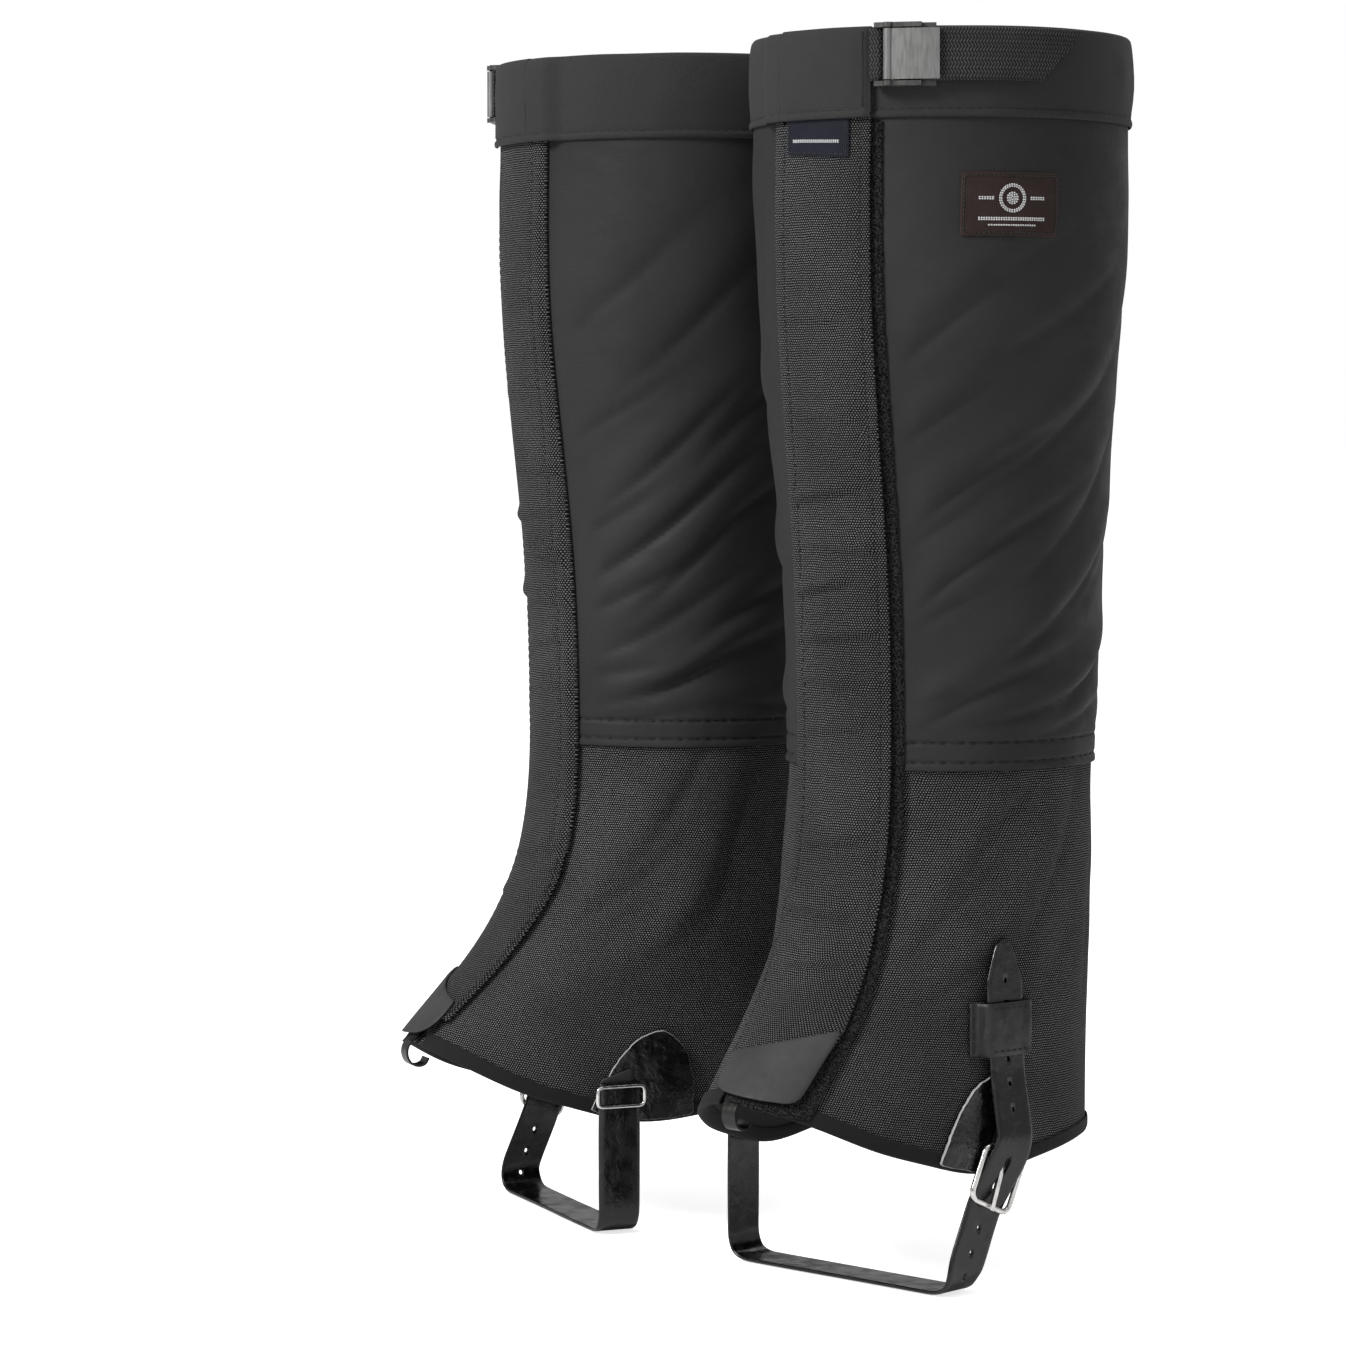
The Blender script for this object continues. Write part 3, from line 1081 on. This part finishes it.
def strap_course():
    """Middle line of the instep strap from its tip to the inner patch, and the way across it."""
    tail = on_side(0, [-1.8, 1.4, 6.1], [80, 26, 1.0])
    loop = on_side(0, [6.1, 5.6, 0.6, 0.3], [-4, -7, -25, -53], LEAN)
    across_loop = SIDE_BACK * math.cos(LEAN) - UP * math.sin(LEAN)
    back = np.array([0.0, 1.0, 0.0])
    under_boot = [(57.6, 7.8), (55.6, 2.6), (50.0, 0.8), (0.0, 0.8), (-52.0, 0.8), (-57.6, 2.6), (-59.8, 8.5),
                  (-59.8, 66.0)]
    floor = [(x, -52.3, z) for x, z in under_boot]
    points = [*tail, *loop, *floor]
    ways = [SIDE_BACK] * 3 + [across_loop] * 4 + [back] * 8
    course = resample(np.concatenate([np.array(points), np.array(ways)], 1)[:, :6], 0.5)
    return course


def build_instep_strap(side):
    table = strap_course()
    walk = np.concatenate([[0], np.cumsum(np.linalg.norm(np.diff(table[:, :3], axis=0), axis=1))])
    count = int(walk[-1] / HOLE_STEP)
    at = np.arange(count + 1) * HOLE_STEP + 0.35
    at = at[at < walk[-1]]
    course = np.stack([np.interp(at, walk, table[:, k]) for k in range(6)], 1)
    middle = soften(course[:, :3], 5)
    across = soften(course[:, 3:], 8)
    along = np.gradient(middle, axis=0)
    along /= np.linalg.norm(along, axis=1)[:, None]
    across -= (across * along).sum(1)[:, None] * along
    across /= np.linalg.norm(across, axis=1)[:, None]
    normal = np.cross(along, across)
    if (normal[0] @ SIDE_OUT) < 0:
        normal = -normal
    half = np.where(at < 17, 2.4 + 6.6 * (at / 17.0) ** 0.8, 9.0)
    half = np.where(at < 2.0, half * np.sqrt(np.clip(at / 2.0, 0.15, 1)), half)
    half = half + 0.12 * np.sin(at / 11.0)
    half_columns = [0.1667, 0.333, 0.5, 0.66, 0.82, 0.93, 1]
    columns = np.array([-share for share in half_columns[::-1]] + [0] + half_columns)
    wave = 0.25 * np.sin(at / 6.5) * smooth(at, 104, 112) * (1 - smooth(at, 140, 150))
    outer = middle[:, None] + across[:, None] * (half[:, None] * columns)[..., None]
    crown = 0.8 - 0.28 * (np.abs(columns) > 0.97) + 0.08 * (np.abs(np.abs(columns) - 0.82) < 0.03)
    lift = crown[None, :] + wave[:, None]
    inner = outer - normal[:, None] * (0.78 - wave[:, None, None])
    outer = outer + normal[:, None] * lift[..., None]
    uv = np.stack([half[:, None] * columns, at[:, None] + 0 * columns], -1) * MM
    points, faces, uv = slab(outer, inner, uv, bulge=0.4)
    rows, cols = outer.shape[:2]
    # Punched holes: a block of faces around each gives way to a ring that follows the hole's rim.
    centre = cols // 2
    holes = [(11 + 7 * k, 1) for k in range(6)] + [(64, 5)] + [(80, 1), (87, 1), (94, 1)]
    faces = {tuple(face) for face in map(tuple, faces)}
    points, uv = list(points), list(uv)
    for row, reach in holes:
        block = [(i, j) for i in range(row - reach - 1, row + reach + 1) for j in (centre - 1, centre)]
        ring_ij = [(row - reach - 1, j) for j in range(centre - 1, centre + 2)]
        ring_ij += [(i, centre + 1) for i in range(row - reach, row + reach + 2)]
        ring_ij += [(row + reach + 1, j) for j in range(centre, centre - 2, -1)]
        ring_ij += [(i, centre - 1) for i in range(row + reach, row - reach - 1, -1)]
        shift = rows * cols
        gone = set()
        for i, j in block:
            a, b, c, d = i * cols + j, i * cols + j + 1, (i + 1) * cols + j + 1, (i + 1) * cols + j
            gone.add(frozenset((a, b, c, d)))
            gone.add(frozenset((a + shift, b + shift, c + shift, d + shift)))
        faces = {face for face in faces if len(face) != 4 or frozenset(face) not in gone}
        rims = []
        straight = (reach - 1) * HOLE_STEP
        for grid, base in ((outer, 0), (inner, shift)):
            middle_point = grid[row, centre]
            rim = []
            for i, j in ring_ij:
                dx = (j - centre) * 1.5
                dy = (i - row) * HOLE_STEP
                body = np.clip(dy, -straight, straight)
                angle = math.atan2(dy - body, dx) if (dx or dy - body) else 0.0
                size = 1.05 if reach == 1 else 1.45
                nearest = np.clip(row + int(round(body / HOLE_STEP)), 0, rows - 1)
                spot = (middle_point + across[row] * size * math.cos(angle)
                        + (grid[nearest, centre] - middle_point) + along[row] * size * math.sin(angle))
                rim.append(len(points))
                points.append(spot)
                uv.append(uv[i * cols + j])
            rims.append(rim)
            n = len(ring_ij)
            for k in range(n):
                m = (k + 1) % n
                i, j = ring_ij[k]
                p, q = ring_ij[m]
                faces.add((i * cols + j + base, p * cols + q + base, rim[m], rim[k]))
        n = len(ring_ij)
        for k in range(n):
            m = (k + 1) % n
            faces.add((rims[0][k], rims[0][m], rims[1][m], rims[1][k]))
    body = ((62.0, -25.0, 66.0), ("instep_loop", 62.0, -25.0, 54.0))
    shape = (np.array(points), sorted(faces), np.array(uv))
    to_object("instep_band", side, shape, STRAP, body, ["instep_strap", "instep_strap_tail"])


def build_keeper(side):
    profile = [(-17.0, -3.3), (-12.6, -3.2), (-11.6, 2.4), (-10.2, 3.0), (0, 3.35), (10.2, 3.0), (11.6, 2.4),
               (12.6, -3.2), (15.5, -3.9)]
    profile = soften(resample(profile, 0.7), 3)
    tangent = np.gradient(profile, axis=0)
    tangent /= np.linalg.norm(tangent, axis=1)[:, None]
    normal = np.stack([-tangent[:, 1], tangent[:, 0]], 1)
    heights = np.linspace(34.0, 55.0, 15)
    grids = []
    for half in (0.5, -0.5):
        rows = []
        for k, up in enumerate(heights):
            swell = 0.35 * math.sin(math.pi * k / 14) - 0.15
            at = profile + normal * half
            raised = np.clip(at[:, 1] + 3.0, 0, 6) / 6
            rows.append(on_side(-at[:, 0], at[:, 1] + swell * raised, up + 0 * at[:, 0]))
        grids.append(np.array(rows))
    shape = slab(grids[0], grids[1], walked_uv(grids[0]))
    to_object("keeper_band", side, shape, KEEPER, "shell", ["strap_keeper"])
    rows = Bundle()
    for across, out in ((-15.6, -2.7), (-13.6, -2.6), (14.5, -3.1)):
        path = resample([(across, 35.0), (across, 54.0)], 1.0)
        line = on_side(-path[:, 0], out + 0 * path[:, 0], path[:, 1])
        rows.stitches(line, np.repeat(SIDE_OUT[None], len(line), 0), 2.0, 0.9)
    for up in (36.0, 53.0):
        path = resample([(-9.6, up), (9.6, up)], 1.0)
        swell = 3.62 + 0.35 * (1 - (path[:, 0] / 10) ** 2)
        line = on_side(-path[:, 0], swell, path[:, 1])
        rows.stitches(line, np.repeat(SIDE_OUT[None], len(line), 0), 2.0, 0.9)
    rows.build("keeper_stitches", side, THREAD, "shell", "matte_strap")


def build_patches(side):
    heel_end = 18.0
    for name, way in (("outer", 1), ("inner", -1)):
        arch = [(0, 48), (0, 66), (3, 78), (13, 87), (25, 83), (34, 73), (42, 60), (48, 48)]
        top = soften(resample([(heel_end + forward, z) for forward, z in arch], 1.2), 12)
        top = top[top[:, 1] > hem_at(top[:, 0]) + 0.6]
        foot = np.linspace(top[-1, 0], top[0, 0], 36)[1:-1]
        bottom = np.stack([foot, hem_at(foot) + 0.5], 1)
        ragged = np.concatenate([top, bottom])
        noise_at = np.concatenate([ragged * 1.0, np.full((len(ragged), 1), 3.0 * way)], 1)
        away = ragged - ragged.mean(0)
        away /= np.linalg.norm(away, axis=1)[:, None]
        ragged = ragged + away * (0.45 * rumple(noise_at, 2.2, 7.0))[:, None]

        def lay(forward, z, out):
            reach = to_toe(z) + out
            turn = way * np.arccos(np.clip(forward / reach, -1, 1))
            spots = np.stack([forward, z, 0 * z], -1)
            buckle = 0.35 * (1 + rumple(spots, 13.0, 6.0)) * (out > 0.9)
            return skin(turn, z, out + buckle + folds(turn, z, side))
        rings = [(share, 1.2) for share in (0.1, 0.22, 0.34, 0.46, 0.58, 0.7, 0.8, 0.88, 0.94, 0.972)]
        rings += [(0.988, 1.15), (1.0, 0.75), (0.99, 0.25)]
        rings += [(share, 0.2) for share in (0.9, 0.75, 0.6, 0.45, 0.3, 0.15)]
        shape = plate(ragged, rings, lay, middle=(heel_end + 22, 62))
        rim = [0] * 10 + [1, 1, 1] + [0] * 5
        kinds = (([0] + rim + [0] * (len(rings) - 1 - len(rim))) + [0]) * len(ragged)
        to_object(f"{name}_patch", side, shape, [COATED, RAW_EDGE], "shell",
                  [f"instep_patch_{name}"], kinds)


def build_inner_ring(side):
    """The small sewn tab on the inner patch and the wire ring it holds."""
    def lay(forward, z, out):
        turn = -np.arccos(np.clip(forward / (to_toe(z) + out), -1, 1))
        return skin(turn, z, out + folds(turn, z, side))
    outline = rounded([(45, 71), (59.5, 66), (59.5, 57), (45, 57)], 1.2)
    rings = [(share, 2.6) for share in (0.3, 0.6, 0.85)] + [(0.96, 2.4), (1.0, 2.0), (0.96, 1.65), (0.6, 1.6)]
    to_object("ring_tab", side, plate(outline, rings, lay), KEEPER, "shell")
    ring = rounded([(41.6, 63.5), (63.0, 63.5), (63.0, 55.0), (41.6, 55.0)], 2.2)
    path = np.stack([-61.7 + 0 * ring[:, 0], -ring[:, 0], ring[:, 1]], 1)
    points, faces = cord(path, 0.8, closed=True)
    to_object("strap_ring", side, (points, faces, points[:, 1:] * MM), NICKEL, "instep_loop")


# ---------------------------------------------------------------- stitching

def build_stitching(side):
    on_shell, on_flap, on_door = Bundle(), Bundle(), Bundle()

    def row_round(bundle, z, start, end, out):
        turn = np.linspace(start, end, 420)
        bundle.row(skin, turn, z, folds(turn, z, side) + out, 2.9, 1.0, 0.5, 0.34)
    for row in SEAM_ROWS:
        row_round(on_shell, row, 0.43, 2 * math.pi - 0.44, -0.6)
    row_round(on_shell, COLLAR_ROW, 0.34, 2 * math.pi - 0.47, 0.98)

    def row_up(bundle, across, low, high, out, bow=0.0):
        z = np.arange(low, high, 1.5)
        a = across + bow * np.interp(z, [99, 148, 160], [1, 0, 0])
        bundle.row(front, a, z, out + flap_rise(a, z, side), 2.6, 0.9, 0.5, 0.24)
    row_up(on_shell, -17.7, 120, 462, 2.75)
    row_up(on_shell, -23.5, 158, TAPE_TOP, 2.05)
    row_up(on_door, 21.2, FLAP_SPLIT, TAPE_TOP, 2.78)
    row_up(on_shell, 21.4, 108, FLAP_SPLIT, 2.85, 1.6)

    # The sewn edge along the foot.
    share = np.linspace(0, 1, 60)
    z = 92 + 66 * share
    a = np.interp(z, [89, 148, 160], [-13.4, -23.4, -23.4])
    on_shell.row(front, a, z, 2.9 + flap_rise(a, z, side), 2.6, 0.9, 0.5, 0.34)

    # The collar's lower row where it lies over the flap, and the bar tacks at the flap collar's end.
    for bundle, start, end in ((on_flap, -10.5, 16.0), (on_shell, -19.0, -15.2)):
        bundle.row(skin, np.radians(np.arange(start, end, 0.5)), COLLAR_ROW, 4.9, 2.7, 0.9, 0.5, 0.34)
    z = np.arange(468.5, FLAP_TOP, 0.75)
    for swing in (0.35, -0.35):
        turn = np.radians(16.6 + swing * np.where(np.arange(len(z)) % 2, 1, -1))
        on_flap.row(skin, turn, z, 5.05, 1.0, 0.15, 0.4, 0.3)

    # Bar tacks beside the slot.
    for bearing in (38.2, 44.9):
        z = np.arange(478.0, 499.0, 0.7)
        turn = np.radians(bearing + 0.5 * np.where(np.arange(len(z)) % 2, 1, -1))
        on_shell.row(skin, turn, z, 1.25, 1.0, 0.15, 0.4, 0.3)
    on_shell.build("shell_stitches", side, THREAD, "shell", "binding")
    on_flap.build("flap_collar_stitches", side, THREAD, "flap", "binding")
    on_door.build("flap_door_stitches", side, THREAD, DOOR, "binding")


# ---------------------------------------------------------------- hard parts from the frame

def finish_hard_parts(side):
    looks = {
        "lace_hook": (STEEL, 0.25), "lace_hook_rivet": (NICKEL, 0.12), "cam_frame": (BUCKLE, 0.35),
        "cam_pin": (STEEL, 0.1), "cam_lever": (LEVER, 0.4), "buckle_chape": (STRAP, 0.3),
        "pin_buckle_frame": (NICKEL, 0.0), "pin_buckle_prong": (NICKEL, 0.25),
    }
    for node, (material, width) in looks.items():
        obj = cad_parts[f"{side}_{node}"]
        obj.data.materials.clear()
        obj.data.materials.append(material)
        if width:
            bevel = obj.modifiers.new("rounded edges", "BEVEL")
            bevel.width = width * MM
            bevel.segments = 3
            bevel.limit_method = "ANGLE"
            bevel.angle_limit = math.radians(40)
        obj.data.polygons.foreach_set("use_smooth", [True] * len(obj.data.polygons))


for side in SIDES:
    build_sleeves(side)
    build_collar(side)
    build_flap(side)
    build_labels(side)
    build_webbing(side)
    build_instep_strap(side)
    build_keeper(side)
    build_patches(side)
    build_inner_ring(side)
    build_stitching(side)
    finish_hard_parts(side)


# ---------------------------------------------------------------- stage

def build_stage():
    floor = bpy.data.meshes.new("floor")
    corners = [(x * 40, y * 40, -0.0005) for x, y in ((-1, -1), (1, -1), (1, 1), (-1, 1))]
    floor.from_pydata(corners, [], [(0, 1, 2, 3)])
    floor_object = bpy.data.objects.new("floor", floor)
    bpy.context.scene.collection.objects.link(floor_object)
    pale = bpy.data.materials.new("pale floor")
    pale.use_nodes = True
    tree = pale.node_tree
    surface = tree.nodes["Principled BSDF"]
    surface.inputs["Base Color"].default_value = (0.9, 0.9, 0.9, 1)
    surface.inputs["Roughness"].default_value = 0.9
    surface.inputs["Emission Color"].default_value = (1, 1, 1, 1)
    glow = tree.nodes.new("ShaderNodeMath")
    glow.operation = "MULTIPLY"
    glow.inputs[1].default_value = 0.72
    tree.links.new(tree.nodes.new("ShaderNodeLightPath").outputs["Is Camera Ray"], glow.inputs[0])
    tree.links.new(glow.outputs[0], surface.inputs["Emission Strength"])
    floor.materials.append(pale)
    world = bpy.data.worlds.new("studio")
    bpy.context.scene.world = world
    world.use_nodes = True
    # The backdrop looks white, and lights the object with less than half of that.
    tree = world.node_tree
    path = tree.nodes.new("ShaderNodeLightPath")
    level = tree.nodes.new("ShaderNodeMath")
    level.operation = "MULTIPLY_ADD"
    level.inputs[1].default_value, level.inputs[2].default_value = 0.55, 0.45
    tree.links.new(path.outputs["Is Camera Ray"], level.inputs[0])
    tree.nodes["Background"].inputs["Color"].default_value = (1.0, 1.0, 1.0, 1)
    tree.links.new(level.outputs[0], tree.nodes["Background"].inputs["Strength"])
    bpy.context.scene.view_settings.view_transform = "Standard"
    lights = [("key", (-0.3, -2.2, 1.9), 0.8, 74), ("fill", (2.2, -0.9, 1.0), 1.4, 4),
              ("top", (0.2, 0.3, 2.4), 1.2, 14), ("rim", (-0.6, 2.2, 1.4), 1.4, 4)]
    for name, at, size, power in lights:
        light = bpy.data.lights.new(name, "AREA")
        light.size, light.energy = size, power
        lamp = bpy.data.objects.new(name, light)
        lamp.location = at
        lamp.rotation_euler = (Vector((0, 0, 0.25)) - Vector(at)).to_track_quat("-Z", "Y").to_euler()
        bpy.context.scene.collection.objects.link(lamp)
    azimuth, distance = math.radians(47.61), 1.7976
    yaw, pitch = math.radians(1.76), math.radians(-3.41)
    camera = bpy.data.cameras.new("view")
    camera.lens, camera.sensor_width = 113.03, 36.0
    lens = bpy.data.objects.new("view", camera)
    lens.location = (math.sin(azimuth) * distance, -math.cos(azimuth) * distance + 0.025, 0.3457)
    look = Vector((-math.sin(azimuth + yaw) * math.cos(pitch), math.cos(azimuth + yaw) * math.cos(pitch),
                   math.sin(pitch)))
    lens.rotation_euler = look.to_track_quat("-Z", "Y").to_euler()
    bpy.context.scene.collection.objects.link(lens)
    bpy.context.scene.camera = lens


build_stage()
